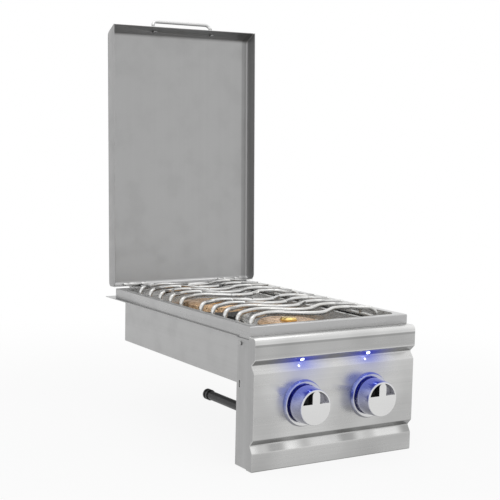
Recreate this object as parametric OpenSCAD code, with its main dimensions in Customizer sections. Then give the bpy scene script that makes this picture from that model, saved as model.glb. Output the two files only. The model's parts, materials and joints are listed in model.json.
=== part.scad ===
// Built in double side burner: a drop in gas hob with a hinged lid,
// two ring burners, wavy rod grates and a lit front panel.
// X is across the front, Y runs to the back and Z is up. The origin is the
// middle of the worktop cut-out, in the plane that the counter flange rests on.

/* [Front panel] */
// Width of the front panel over its end plates
fascia_w = 305; // [295:1:330]
// Height of the front panel
fascia_h = 205; // [200:1:225]
// How far the top of the front panel stands above the worktop
fascia_rise = 5; // [4:0.5:7]
// Sheet thickness of the front panel
fascia_wall = 1.5; // [1.2:0.1:1.8]
// Sheet thickness of the two end plates
end_wall = 2; // [1.5:0.1:2.4]
// Depth of the end plates behind the main face
end_depth = 49; // [46:1:56]
// Height of the upper band, from the top edge to the first groove
upper_band_h = 33.5; // [30:0.5:36]
// How far the upper band stands in front of the main face
upper_band_proud = 2; // [1.5:0.1:3]
// Depth of both grooves behind the main face
groove_depth = 8.3; // [7:0.1:9]
// Height of the slope that goes into a groove
groove_fall = 9.5; // [9:0.1:11]
// Height of the slope that comes out of a groove
groove_rise = 11.8; // [11:0.1:13]
// Height of the main face between the grooves
main_face_h = 100.5; // [97:0.5:104]
// How far the lower band stands behind the main face
lower_band_inset = 1.5; // [1:0.1:2]
// Radius of the rolled top edge
bullnose_r = 8; // [7:0.5:9]
// Depth of the fold along the bottom of the panel
bottom_fold = 16; // [12:1:20]

/* [Worktop body] */
// Length of the raised top frame, front to back
frame_len = 462; // [460:1:480]
// Gap between the main face and the front wall of the top frame
frame_setback = 16.5; // [15:0.5:18]
// Height of the top frame above the worktop
frame_top = 20; // [19:0.5:22]
// Sheet thickness of the top frame
frame_wall = 1.2; // [1:0.1:1.4]
// Width of the top frame's flat strip at the front and the sides
strip_w = 12; // [11:0.5:14]
// Width of the top frame's flat strip at the back, under the hinges
back_strip_w = 17; // [16:0.5:20]
// Radius of the bend along the top frame's front edge
frame_front_r = 2; // [1.6:0.1:2.4]
// How far the counter flange reaches past the body at each side
flange_side = 3.5; // [3:0.5:5]
// How far the counter flange reaches behind the top frame
flange_back = 36; // [32:1:42]
// Thickness of the counter flange
flange_t = 1.2; // [1:0.1:1.4]
// Depth of the body below the worktop
body_h = 71; // [70:0.5:74]
// Distance from the top frame's back wall in to the back wall of the body
body_inset = 40.5; // [38.5:0.5:42.5]
// Sheet thickness of the body
body_wall = 1; // [0.8:0.1:1.2]

/* [Burner pan] */
// Sheet thickness of the pan
pan_wall = 1; // [0.8:0.1:1.2]
// Height of the ledge that carries the grates, above the worktop
ledge_z = 8; // [7:0.5:9]
// Width of that ledge
ledge_w = 30; // [29:0.5:31]
// Depth of the pan floor below the worktop
pan_depth = 28; // [27:0.5:29]
// Corner radius of the pan
pan_corner_r = 16; // [14:0.5:18]

/* [Grates] */
// Diameter of the grate rods
rod_d = 7; // [6.4:0.1:7.4]
// Height of the middle of the rods above the worktop
rod_z = 26; // [25:0.1:26.5]
// Distance from the pan's front edge to the first rod
grate_front_gap = 41.1; // [39:0.1:43]
// Distance from the last rod to the pan's back edge
grate_back_gap = 19.1; // [17:0.1:21]
// Distance from the front grate's last rod to the rear grate's first
grate_between = 67.2; // [65:0.1:69]
// Distance from the pan's side walls to the middles of the grates' legs
grate_side_gap = 16.5; // [14.5:0.5:19]
// Diameter of the foot bars that join the legs
foot_bar_d = 6; // [5.5:0.1:6.4]
// How far a rod's wave swings before its bends are rounded
wave_swing = 48; // [44:1:50]
// Radius of the bends of a rod's wave
wave_bend_r = 35; // [28:1:36]
// Radius of a rod's bend into its leg
leg_bend_r = 12; // [9:0.5:12.5]

/* [Burners] */
// Outer diameter of the brass burner ring
ring_d = 102; // [98:1:110]
// Height of the burner ring
ring_h = 12; // [11:0.5:13]
// Height of the top of the ring above the worktop
ring_top = 2; // [1:0.5:3]
// Wall of the burner ring
ring_wall = 3; // [2.5:0.1:3.5]
// Number of flame ports round the ring
port_count = 36; // [24:2:48]
// Diameter of a flame port
port_d = 2.4; // [2:0.1:2.8]
// Diameter of the cap in the middle of a ring
cap_d = 28; // [27:0.5:30]
// Distance from the middle line to each mixing tube
tube_x = 25; // [23:0.5:27]
// Outer diameter of the mixing tubes
tube_d = 22; // [21:0.5:23]
// Wall of the mixing tubes
tube_wall = 2; // [1.6:0.1:2.2]
// Depth of the mixing tubes below the worktop
tube_depth = 52; // [51:0.5:54]

/* [Controls] */
// Distance from the middle line to each knob
knob_x = 63.3; // [62:0.1:66]
// Depth of the knobs below the worktop
knob_depth = 101; // [99:0.5:102]
// Outer diameter of a bezel at the panel
bezel_d = 73.2; // [70:0.1:76]
// Diameter of a bezel's front edge
bezel_front_d = 68.4; // [67:0.1:69]
// How far a bezel stands in front of the panel
bezel_h = 5.7; // [5:0.1:6.5]
// Width of a bezel's front ring
bezel_ring_w = 8; // [7:0.1:8.5]
// Diameter of a knob at its back edge
knob_d = 58.8; // [57:0.1:60]
// Diameter of a knob's face
knob_face_d = 54.8; // [53:0.1:56]
// Distance from the panel to a knob's face
knob_reach = 34.3; // [33:0.1:36]
// Width of the rounded ridge in the upper half of a knob's face
knob_ridge_w = 13.5; // [11:0.1:15]
// How far a knob can be pushed in
push_travel = 3; // [2.5:0.1:3.2]
// Diameter of the valve stems
stem_d = 8; // [7.5:0.1:8.5]
// Diameter of an indicator lens
led_d = 6; // [5:0.1:6.5]

/* [Gas line] */
// Depth of the manifold below the worktop
manifold_depth = 126; // [125:0.5:128]
// Distance from the main face to the middle of the manifold
manifold_y = 34; // [33:0.5:35]
// Outer diameter of the manifold pipe
manifold_d = 20; // [19:0.5:21]
// Distance from the middle line to the inlet pipe
inlet_x = 110; // [108:0.5:112]
// Outer diameter of the inlet pipe
inlet_d = 15; // [14:0.5:16]
// Distance from the main face to the end of the inlet fitting
inlet_end_y = 207; // [195:1:220]
// Outer diameter of the supply tubes to the burners
supply_d = 8; // [7:0.5:8.5]

/* [Lid] */
// Length of the lid from the hinge pin to its front edge
lid_reach = 482; // [481.5:0.5:483]
// Depth of the lid from its skin to its free edge
lid_depth = 26; // [25.5:0.5:26.5]
// Sheet thickness of the lid
lid_wall = 1; // [0.8:0.1:1]
// Clearance between the lid's side walls and the top frame
lid_side_clear = 1.8; // [1.5:0.1:2.2]
// How far the front wall of the lid slopes back
lid_slope = 14.2; // [13:0.1:14.4]
// Radius between the lid's skin and its front wall
lid_front_r = 10; // [9:0.5:12]
// Radius between the lid's skin and its back wall
lid_back_r = 7; // [6:0.5:8]
// Angle from closed to the open stop
lid_open = 91.8; // [90:0.1:95]
// Distance from the top frame's back wall to the hinge pin
hinge_gap = 15.2; // [15:0.1:16]
// Height of the hinge pin above the worktop
hinge_z = 24.4; // [24.2:0.1:24.6]
// Distance from the middle line to each hinge
hinge_x = 104; // [98:0.5:110]
// Outer diameter of the hinge barrels
barrel_d = 7; // [6.8:0.1:7.2]
// Length of the middle barrel of a hinge
barrel_len = 25; // [22:0.5:27]
// Distance between the two ends of the lid handle
handle_w = 124; // [116:1:132]
// Height of the lid handle from the lid's front wall
handle_h = 22; // [20:0.5:26]
// Diameter of the lid handle's rod
handle_d = 6.4; // [6:0.1:7]

/* [Hidden] */

$fn = 48;
left = -1;
right = 1;
// Every cut runs this much past the face that it opens
over = 2;
// Gap between flat or round faces that only just miss each other
near_clear = 0.3;
// Radial clearance of a running fit
run_clear = 0.05;
// How far a bar's straight length runs into its bends, and how much thinner it is
bend_lap = 0.3;
bend_step = 0.03;
// Number of points in a rounded corner of an outline
arc_steps = 6;

// Front panel
fascia_bottom = fascia_rise - fascia_h;
band_end_z = fascia_rise - upper_band_h;
groove1_z = band_end_z - groove_fall;
main_top_z = groove1_z - groove_rise;
main_end_z = main_top_z - main_face_h;
groove2_z = main_end_z - groove_fall;
lower_top_z = groove2_z - groove_rise;
edge_r = 3;
groove_r = 2.5;
body_w = fascia_w - 2 * end_wall;
end_slot_w = 3;
end_slot_h = 11;
end_slot_y = 41;
side_screw_y = 40;
side_screw_depth = 8.3;
side_screw_head_d = 6;
side_screw_head_h = 1.6;
side_screw_d = 3;
side_screw_len = 5;
panel_hole_d = 24;

// Worktop body
frame_w = body_w;
frame_front_y = frame_setback;
frame_back_y = frame_front_y + frame_len;
body_back_y = frame_back_y - body_inset;
flange_w = body_w + 2 * flange_side;
flange_back_y = frame_back_y + flange_back;
flange_front_y = end_depth + near_clear;
body_front_y = end_depth + body_wall;

// Burner pan
lip_w = 8;
pan_y0 = frame_front_y + strip_w;
pan_y1 = frame_back_y - back_strip_w;
pan_w = frame_w - 2 * strip_w;
frame_under = frame_top - frame_wall;
well_w = pan_w - 2 * ledge_w;
well_front_ledge = 12;
well_back_gap = 6;
well_y0 = pan_y0 + well_front_ledge;
well_y1 = body_back_y - body_wall - well_back_gap;
floor_z = -pan_depth;

// Grates
rods_per_grate = 5;
grate_room = pan_y1 - pan_y0 - grate_front_gap - grate_back_gap - grate_between;
rod_pitch = grate_room / (2 * (rods_per_grate - 1));
grate_span = (rods_per_grate - 1) * rod_pitch;
grate_ys = [pan_y0 + grate_front_gap + grate_span / 2, pan_y1 - grate_back_gap - grate_span / 2];
grate_w = pan_w - 2 * grate_side_gap;
leg_foot_z = ledge_z + foot_bar_d / 2;
wave_crest_share = 0.533;
wave_end_share = 0.2;

// Burners
burner_front_shift = 12;
burner_ys = [grate_ys[0] - burner_front_shift, grate_ys[1]];
ring_r = ring_d / 2;
boss_d = 22;
ring_in_r = boss_d / 2 + near_clear;
ring_base_z = ring_top - ring_h;
base_plate_h = 8;
base_z = ring_base_z - base_plate_h;
base_rim_h = 3;
cap_h = 5.5;
cap_spigot_h = 4;
cap_spigot_d = 12;
boss_h = ring_h + near_clear;
collar_d = 46;
collar_h = 3;
screw_d = 4;
screw_head_d = 8;
screw_head_h = 2.4;
collar_screw_r = 17.5;
mouth_gap = 14;
mouth_y = body_front_y + mouth_gap;
mouth_flare = 3;
mouth_len = 12;
tube_bend_share = 0.8;
igniter_d = 7;
igniter_gap = 8;
igniter_wire_d = 1.6;
igniter_top = ring_top - ring_h / 2;
igniter_foot_d = 14;
igniter_foot_h = 1.5;
orifice_d = 12;
orifice_tip_d = 8;
orifice_tip_len = 8;
orifice_len = 6;
orifice_bore = 1.2;
supply_wall = 1;
supply_bend = 8;

// Controls
knob_z = -knob_depth;
knob_clear = 0.8;
knob_gap = bezel_h + push_travel + knob_clear;
knob_skirt_wall = 3;
knob_boss_d = 16;
knob_pocket_depth = 11;
knob_rim = 2.6;
knob_round_r = 1.5;
knob_cut_z = 5.5;
stem_flat = 1.2;
stem_reach = knob_reach - knob_pocket_depth - knob_skirt_wall;
stem_in = 16;
collar_ring_d = 14;
collar_ring_t = 3;
valve_y0 = 6;
valve_len = 36;
valve_d = 24;
valve_nose_d = 19;
valve_nose_len = 8;
valve_outlet_d = 12;
valve_outlet_h = 16;
valve_inlet_d = 11;
bezel_back_wall = 1.4;
bezel_dish = 0.8;
bezel_edge_r = 1.2;
bezel_bore_d = 20;
led_slope_share = 0.6;
led_y = -upper_band_proud + led_slope_share * (groove_depth + upper_band_proud);
led_z = band_end_z - led_slope_share * groove_fall;
led_tilt = atan2(groove_fall, groove_depth + upper_band_proud);
led_proud = 1;
led_body_len = 12;
led_holder_d = 10;
led_holder_len = 9;

// Gas line
manifold_z = -manifold_depth;
manifold_wall = 2.5;
manifold_end_x = 98;
elbow_d = 26;
elbow_band_d = 29;
elbow_band_w = 7;
inlet_wall = 2.2;
fitting_d = 18;
fitting_len = 12;
fitting_groove_d = 14.6;
fitting_groove_w = 3;
fitting_socket_d = 13;
bracket_x = 80;
bracket_w = 16;
bracket_t = 2;
plug_d = 23;
plug_len = 9;

// Lid
hinge_y = frame_back_y + hinge_gap;
lid_w = frame_w + 2 * (lid_side_clear + lid_wall);
lid_skin_z = 8;
lid_free_z = lid_skin_z - lid_depth;
lid_back_y = 2;
lid_back_len = 21.5;
lid_corner_r = 12;
leaf_t = 1.2;
leaf_len = 9.5;
leaf_w = barrel_len;
knuckle_gap = 0.6;
outer_knuckle_len = 11;
pin_d = 3.4;
frame_leaf_len = 14;
barrel_slot_clear = 1;
hinge_screw_d = 3;
hinge_screw_head_d = 5.6;
hinge_screw_head_h = 1.2;
handle_bend_r = 9;
handle_screw_head_d = 9;
handle_screw_head_h = 2.6;
handle_screw_d = 3.4;
handle_screw_len = 9;

// Directions and outlines
function unit(v) = v / norm(v);
function side_of(v) = [-v[1], v[0]];
function turn_of(a, b) = a[0] * b[1] - a[1] * b[0];
function reversed(p) = [for (i = [len(p) - 1:-1:0]) p[i]];

// An open outline moved sideways by t, with mitred corners
function shifted(p, t) = [for (i = [0:len(p) - 1])
    let (last = len(p) - 1,
        a = side_of(unit(p[max(i, 1)] - p[max(i, 1) - 1])),
        b = side_of(unit(p[min(i, last - 1) + 1] - p[min(i, last - 1)])))
    p[i] + t * (a + b) / (1 + a * b)];

// The points of the arc that rounds corner b between a and c
function fillet(a, b, c, r) = r <= 0 ? [b] :
    let (u = unit(a - b), v = unit(c - b), half = acos(u * v) / 2,
        mid = b + unit(u + v) * r / sin(half),
        s = b + u * r / tan(half), e = b + v * r / tan(half),
        from = atan2(s[1] - mid[1], s[0] - mid[0]),
        swing = atan2(turn_of(s - mid, e - mid), (s - mid) * (e - mid)))
    [for (k = [0:arc_steps]) mid + r * [cos(from + swing * k / arc_steps), sin(from + swing * k / arc_steps)]];

function rounded(p, radii) = [for (i = [0:len(p) - 1])
    each (i == 0 || i == len(p) - 1) ? [p[i]] : fillet(p[i - 1], p[i], p[i + 1], radii[i])];

function ring_of(p, radii) = [for (i = [0:len(p) - 1])
    each fillet(p[(i + len(p) - 1) % len(p)], p[i], p[(i + 1) % len(p)], radii[i])];

// The radii of the far side of a bent sheet of thickness t
function sheet_radii(p, radii, t) = [for (i = [0:len(p) - 1])
    (i == 0 || i == len(p) - 1 || radii[i] == 0) ? 0 :
    radii[i] - t * sign(turn_of(p[i] - p[i - 1], p[i + 1] - p[i]))];

function sheet(p, radii, t) =
    concat(rounded(p, radii), reversed(rounded(shifted(p, t), sheet_radii(p, radii, t))));

// Draws an outline of [y, z] points, extruded along X from x0 by w
module across(x0, w) {
    translate([x0, 0, 0]) rotate([90, 0, 90]) linear_extrude(w) children();
}

module rounded_rect(w, d, r) {
    union() {
        translate([-w / 2 + r, -d / 2]) square([w - 2 * r, d]);
        translate([-w / 2, -d / 2 + r]) square([w, d - 2 * r]);
        for (sx = [left, right], sy = [-1, 1])
            translate([sx * (w / 2 - r), sy * (d / 2 - r)]) circle(r);
    }
}

// A straight rod from a to b
module rod(a, b, r) {
    d = b - a;
    translate(a) rotate([0, acos(d[2] / norm(d)), atan2(d[1], d[0])]) cylinder(h = norm(d), r = r);
}

// A quarter or part bend with its middle at the corner p
module elbow(p, d1, d2, bend, r) {
    swing = acos(d1 * d2);
    mid = p + unit(d2 - d1) * bend / cos(swing / 2);
    ex = unit(p - d1 * bend * tan(swing / 2) - mid);
    ez = cross(ex, d1);
    multmatrix([
        [ex[0], d1[0], ez[0], mid[0]],
        [ex[1], d1[1], ez[1], mid[1]],
        [ex[2], d1[2], ez[2], mid[2]],
        [0, 0, 0, 1]])
        rotate_extrude(angle = swing) translate([bend, 0]) circle(r);
}

// A round bar of radius r along the points p, bent to the radii at its corners.
// Its straight lengths are a hair thinner than its bends and run a little way
// into them.
module bent_rod(p, bends, r) {
    last = len(p) - 1;
    way = [for (i = [0:last - 1]) unit(p[i + 1] - p[i])];
    trim = [for (i = [0:last]) (i == 0 || i == last) ? 0 :
        bends[i] * tan(acos(way[i - 1] * way[i]) / 2) - bend_lap];
    union() {
        for (i = [0:last - 1])
            rod(p[i] + way[i] * trim[i], p[i + 1] - way[i] * trim[i + 1], r - bend_step);
        for (i = [1:last - 1]) elbow(p[i], way[i - 1], way[i], bends[i], r);
    }
}

module along_y(y0, len, d) {
    translate([0, y0, 0]) rotate([-90, 0, 0]) cylinder(h = len, d = d);
}

// Front panel
fascia_line = [
    [frame_front_y - near_clear, fascia_rise],
    [-upper_band_proud, fascia_rise],
    [-upper_band_proud, band_end_z],
    [groove_depth, groove1_z],
    [0, main_top_z],
    [0, main_end_z],
    [groove_depth, groove2_z],
    [lower_band_inset, lower_top_z],
    [lower_band_inset, fascia_bottom],
    [lower_band_inset + bottom_fold, fascia_bottom],
];
fascia_radii = [0, bullnose_r, edge_r, groove_r, edge_r, edge_r, groove_r, edge_r, edge_r, 0];

module fascia_panel() {
    color("silver") difference() {
        across(-fascia_w / 2, fascia_w) polygon(sheet(fascia_line, fascia_radii, fascia_wall));
        for (s = [left, right]) {
            translate([s * knob_x, 0, knob_z]) along_y(-over, 2 * over + fascia_wall, panel_hole_d);
            at_led(s) translate([0, 0, -over - fascia_wall])
                cylinder(h = 2 * over + fascia_wall, d = led_d + 2 * run_clear);
        }
    }
}

// Puts children at an indicator, with +Z out of the groove's upper slope
module at_led(s) {
    translate([s * knob_x, led_y, led_z]) rotate([180 - led_tilt, 0, 0]) children();
}

function end_outline() = concat(
    rounded(shifted(fascia_line, fascia_wall + near_clear / 3),
        sheet_radii(fascia_line, fascia_radii, fascia_wall)),
    [[end_depth, fascia_bottom + fascia_wall + near_clear / 3],
     [end_depth, -near_clear],
     [frame_front_y - near_clear, -near_clear]]);

module fascia_end(s) {
    color("silver") difference() {
        across(s > 0 ? fascia_w / 2 - end_wall : -fascia_w / 2, end_wall) polygon(end_outline());
        translate([s * fascia_w / 2, end_slot_y, -body_h])
            cube([2 * end_wall + over, end_slot_w, end_slot_h], center = true);
        translate([s * (fascia_w / 2 - end_wall - over), side_screw_y, -side_screw_depth])
            rotate([0, s * 90, 0]) cylinder(h = end_wall + 2 * over, d = side_screw_d + 2 * run_clear);
    }
}
module fascia_end_left() { fascia_end(left); }
module fascia_end_right() { fascia_end(right); }

module fascia_screws() {
    color("gainsboro") for (s = [left, right])
        translate([s * (fascia_w / 2 - side_screw_len), side_screw_y, -side_screw_depth]) rotate([0, s * 90, 0])
            union() {
                cylinder(h = side_screw_len, d = side_screw_d);
                translate([0, 0, side_screw_len]) cylinder(h = side_screw_head_h, d = side_screw_head_d);
            }
}

// Worktop body
module body_side(s) {
    color("silver") difference() {
        translate([s > 0 ? body_w / 2 - body_wall : -body_w / 2, frame_front_y, -body_h])
            cube([body_wall, body_back_y - frame_front_y, body_h]);
        translate([s * (body_w / 2 - body_wall - over), side_screw_y, -side_screw_depth])
            rotate([0, s * 90, 0]) cylinder(h = body_wall + 2 * over, d = side_screw_d + 2 * run_clear);
    }
}
module body_left() { body_side(left); }
module body_right() { body_side(right); }

inner_w = body_w - 2 * body_wall;

module body_back() {
    color("silver") translate([-inner_w / 2, body_back_y - body_wall, -body_h])
        cube([inner_w, body_wall, body_h]);
}

module body_front() {
    color("silver") difference() {
        translate([-inner_w / 2, end_depth, -body_h + body_wall])
            cube([inner_w, body_wall, body_h - body_wall + floor_z - pan_wall - near_clear]);
        for (s = [left, right])
            translate([s * tube_x, 0, -tube_depth])
                along_y(end_depth - over, body_wall + 2 * over, orifice_d + 2 * run_clear);
    }
}

module body_bottom() {
    color("silver") translate([-inner_w / 2, end_depth, -body_h])
        cube([inner_w, body_back_y - body_wall - end_depth, body_wall]);
}

// Runs round the sides and the back of the top frame and rests on the worktop
module counter_flange() {
    color("silver") difference() {
        translate([-flange_w / 2, flange_front_y, 0]) cube([flange_w, flange_back_y - flange_front_y, flange_t]);
        translate([-frame_w / 2, flange_front_y - over, -over])
            cube([frame_w, frame_back_y - flange_front_y + over, flange_t + 2 * over]);
    }
}

// The top frame seen from the side, t inside its outer faces
function frame_outline(t, z0) = [
    [frame_front_y + t, z0],
    [frame_back_y - t, z0],
    [frame_back_y - t, frame_top - t],
    each fillet([frame_back_y - t, frame_top - t], [frame_front_y + t, frame_top - t],
        [frame_front_y + t, z0], frame_front_r - t)];

module top_frame() {
    color("silver") difference() {
        across(-frame_w / 2, frame_w) polygon(frame_outline(0, 0));
        across(-frame_w / 2 + frame_wall, frame_w - 2 * frame_wall)
            polygon(frame_outline(frame_wall, -over));
        translate([0, (pan_y0 + pan_y1) / 2, 0])
            linear_extrude(frame_top + over) rounded_rect(pan_w, pan_y1 - pan_y0, pan_corner_r);
    }
}

// Burner pan: a lip under the frame, a ledge for the grates and a deep well
module well(w, y0, y1, r, z0, z1) {
    translate([0, (y0 + y1) / 2, z0]) linear_extrude(z1 - z0) rounded_rect(w, y1 - y0, r);
}

module burner_pan() {
    well_r = pan_corner_r + pan_wall;
    color("gainsboro") difference() {
        union() {
            well(pan_w + 2 * lip_w, pan_y0 - lip_w, pan_y1 + lip_w, well_r, frame_under - pan_wall, frame_under);
            well(pan_w + 2 * pan_wall, pan_y0 - pan_wall, pan_y1 + pan_wall, well_r,
                ledge_z - pan_wall, frame_under);
            well(well_w + 2 * pan_wall, well_y0 - pan_wall, well_y1 + pan_wall, well_r,
                floor_z - pan_wall, ledge_z);
        }
        well(pan_w, pan_y0, pan_y1, pan_corner_r, ledge_z, frame_under + over);
        well(well_w, well_y0, well_y1, pan_corner_r, floor_z, ledge_z + over);
        for (i = [0, 1]) {
            translate([tube_side(i) * tube_x, burner_ys[i], floor_z - over])
                cylinder(h = pan_wall + 2 * over, d = tube_d + 2 * near_clear);
            translate([igniter_x(), burner_ys[i], floor_z - over])
                cylinder(h = pan_wall + 2 * over, d = igniter_d + 2 * run_clear);
        }
    }
}

// The front burner's tube runs on the left and the rear burner's on the right
function tube_side(i) = i == 0 ? left : right;
function igniter_x() = ring_r + igniter_gap;

// Grates
leg_shift = -wave_swing * wave_end_share;
function rod_line(y) = [
    [-grate_w / 2, y + leg_shift, leg_foot_z],
    [-grate_w / 2, y + leg_shift, rod_z],
    [-grate_w / 2 * wave_crest_share, y + wave_swing / 2, rod_z],
    [0, y - wave_swing / 2, rod_z],
    [grate_w / 2 * wave_crest_share, y + wave_swing / 2, rod_z],
    [grate_w / 2, y + leg_shift, rod_z],
    [grate_w / 2, y + leg_shift, leg_foot_z],
];
rod_bends = [0, leg_bend_r, wave_bend_r, wave_bend_r, wave_bend_r, leg_bend_r, 0];

module grate(i) {
    y0 = grate_ys[i] - grate_span / 2;
    color("gainsboro") union() {
        for (k = [0:rods_per_grate - 1]) bent_rod(rod_line(y0 + k * rod_pitch), rod_bends, rod_d / 2);
        for (s = [left, right])
            translate([s * grate_w / 2, 0, leg_foot_z])
                along_y(y0 + leg_shift - foot_bar_d, grate_span + 2 * foot_bar_d, foot_bar_d);
    }
}
module grate_front() { grate(0); }
module grate_rear() { grate(1); }

// Burners
module burner_ring(i) {
    bevel = ring_h / 3;
    color("goldenrod") translate([0, burner_ys[i], ring_base_z]) difference() {
        rotate_extrude() difference() {
            polygon([
                [ring_in_r, 0], [ring_r, 0], [ring_r, ring_h - bevel], [ring_r - bevel, ring_h],
                [ring_in_r + bevel, ring_h], [ring_in_r, ring_h - bevel]]);
            translate([ring_in_r + ring_wall, -over])
                square([ring_r - ring_in_r - 2 * ring_wall, ring_h - ring_wall - bevel / 2 + over]);
        }
        for (k = [0:port_count - 1])
            rotate([0, 90, k * 360 / port_count]) translate([-ring_h / 2, 0, ring_r - ring_wall - over])
                cylinder(h = ring_wall + 2 * over, d = port_d);
    }
}
module burner_ring_front() { burner_ring(0); }
module burner_ring_rear() { burner_ring(1); }

module burner_cap(i) {
    color("goldenrod") translate([0, burner_ys[i], ring_base_z + boss_h]) union() {
        rotate_extrude() polygon([
            [0, 0], [cap_d / 2, 0], [cap_d / 2, cap_h / 2], [cap_d / 2 - cap_h / 2, cap_h], [0, cap_h]]);
        translate([0, 0, -cap_spigot_h]) cylinder(h = cap_spigot_h, d = cap_spigot_d);
    }
}
module burner_cap_front() { burner_cap(0); }
module burner_cap_rear() { burner_cap(1); }

module burner_base(i) {
    s = tube_side(i);
    y = burner_ys[i];
    path = [[s * tube_x, y, base_z + over / 2], [s * tube_x, y, -tube_depth], [s * tube_x, mouth_y, -tube_depth]];
    bends = [0, tube_d * tube_bend_share, 0];
    inner_path = [path[0] + [0, 0, over], path[1], [s * tube_x, mouth_y - over, -tube_depth]];
    color("dimgray") difference() {
        union() {
            translate([0, y, base_z]) cylinder(h = base_plate_h, r = ring_r - run_clear);
            translate([0, y, base_z]) cylinder(h = base_plate_h + boss_h, d = boss_d);
            bent_rod(path, bends, tube_d / 2);
            translate([s * tube_x, y, floor_z]) cylinder(h = collar_h, d = collar_d);
            translate([s * tube_x, 0, -tube_depth]) along_y(mouth_y, mouth_len, tube_d + 2 * mouth_flare);
        }
        bent_rod(inner_path, bends, tube_d / 2 - tube_wall);
        translate([0, y, base_z + tube_wall]) difference() {
            cylinder(h = base_plate_h, r = ring_r - ring_wall);
            translate([0, 0, -over]) cylinder(h = base_plate_h + 2 * over, d = boss_d);
        }
        translate([0, y, base_z + base_plate_h + boss_h - cap_spigot_h - near_clear])
            cylinder(h = cap_spigot_h + over, d = cap_spigot_d + 2 * near_clear);
        at_burner_screws(i) translate([0, 0, -over])
            cylinder(h = collar_h + 2 * over, d = screw_d + 2 * run_clear);
    }
}
module burner_base_front() { burner_base(0); }
module burner_base_rear() { burner_base(1); }

// Puts children at the two screws of a burner's collar, on the pan floor
module at_burner_screws(i) {
    for (sy = [-1, 1])
        translate([tube_side(i) * tube_x, burner_ys[i] + sy * collar_screw_r, floor_z]) children();
}

module burner_screws() {
    color("gainsboro") for (i = [0, 1]) at_burner_screws(i) union() {
        cylinder(h = collar_h, d = screw_d);
        translate([0, 0, collar_h]) cylinder(h = screw_head_h, d = screw_head_d);
    }
}

module igniter(i) {
    color("white") translate([igniter_x(), burner_ys[i], 0]) union() {
        translate([0, 0, floor_z - pan_wall]) cylinder(h = igniter_top - floor_z + pan_wall, d = igniter_d);
        translate([0, 0, floor_z]) cylinder(h = igniter_foot_h, d = igniter_foot_d);
        bent_rod([[0, 0, igniter_top], [0, 0, igniter_top + igniter_gap / 2],
            [-igniter_gap + 2 * igniter_wire_d, 0, igniter_top + igniter_gap / 2]],
            [0, igniter_wire_d, 0], igniter_wire_d / 2);
    }
}
module igniter_front() { igniter(0); }
module igniter_rear() { igniter(1); }

module orifice(i) {
    color("goldenrod") translate([tube_side(i) * tube_x, 0, -tube_depth]) difference() {
        union() {
            along_y(end_depth - orifice_len, orifice_len + body_wall, orifice_d);
            along_y(body_front_y, orifice_tip_len, orifice_tip_d);
        }
        along_y(end_depth - orifice_len - over, orifice_len + over, supply_d + 2 * run_clear);
        along_y(end_depth - over, body_wall + orifice_tip_len + 2 * over, orifice_bore);
    }
}
module orifice_front() { orifice(0); }
module orifice_rear() { orifice(1); }

// From the valve's outlet up, in towards the mixing tube and back to the orifice
module supply_tube(i) {
    s = tube_side(i);
    start = [s * knob_x, manifold_y, knob_z + valve_outlet_h - supply_bend / 2];
    corner = [s * knob_x, manifold_y, -tube_depth];
    corner2 = [s * tube_x, manifold_y, -tube_depth];
    finish = [s * tube_x, end_depth - body_wall, -tube_depth];
    color("lightgray") difference() {
        bent_rod([start, corner, corner2, finish], [0, supply_bend, supply_bend, 0], supply_d / 2);
        bent_rod([start - [0, 0, over], corner, corner2, finish + [0, over, 0]],
            [0, supply_bend, supply_bend, 0], supply_d / 2 - supply_wall);
    }
}
module supply_tube_front() { supply_tube(0); }
module supply_tube_rear() { supply_tube(1); }

// Controls
module valve(s) {
    color("goldenrod") translate([s * knob_x, 0, knob_z]) difference() {
        union() {
            along_y(valve_y0 + valve_nose_len, valve_len - valve_nose_len, valve_d);
            along_y(valve_y0, valve_len, valve_nose_d);
            translate([0, manifold_y, 0]) cylinder(h = valve_outlet_h, d = valve_outlet_d);
            translate([0, manifold_y, manifold_z - knob_z + manifold_d / 2 - manifold_wall])
                cylinder(h = -manifold_z + knob_z - manifold_d / 2 + manifold_wall, d = valve_inlet_d);
        }
        along_y(valve_y0 - over, stem_in - valve_y0 + near_clear + over, stem_d + 2 * run_clear);
        along_y(valve_y0 - over, collar_ring_t + push_travel + near_clear + over, collar_ring_d + 2 * near_clear);
        translate([0, manifold_y, valve_outlet_h - supply_bend / 2])
            cylinder(h = supply_bend, d = supply_d + 2 * run_clear);
    }
}
module valve_left() { valve(left); }
module valve_right() { valve(right); }

// The collar slides on the stem's push and does not turn
module stem_collar(s) {
    color("silver") translate([s * knob_x, 0, knob_z]) difference() {
        along_y(valve_y0, collar_ring_t, collar_ring_d);
        along_y(valve_y0 - over, collar_ring_t + 2 * over, stem_d + 2 * run_clear);
    }
}
module stem_collar_left() { stem_collar(left); }
module stem_collar_right() { stem_collar(right); }

module valve_stem(s) {
    color("silver") translate([s * knob_x, 0, knob_z]) difference() {
        along_y(-stem_reach, stem_reach + stem_in - push_travel, stem_d);
        translate([-stem_d / 2, -stem_reach - over, stem_d / 2 - stem_flat])
            cube([stem_d, stem_reach - knob_gap + over, stem_flat + over]);
    }
}
module valve_stem_left() { valve_stem(left); }
module valve_stem_right() { valve_stem(right); }

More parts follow.
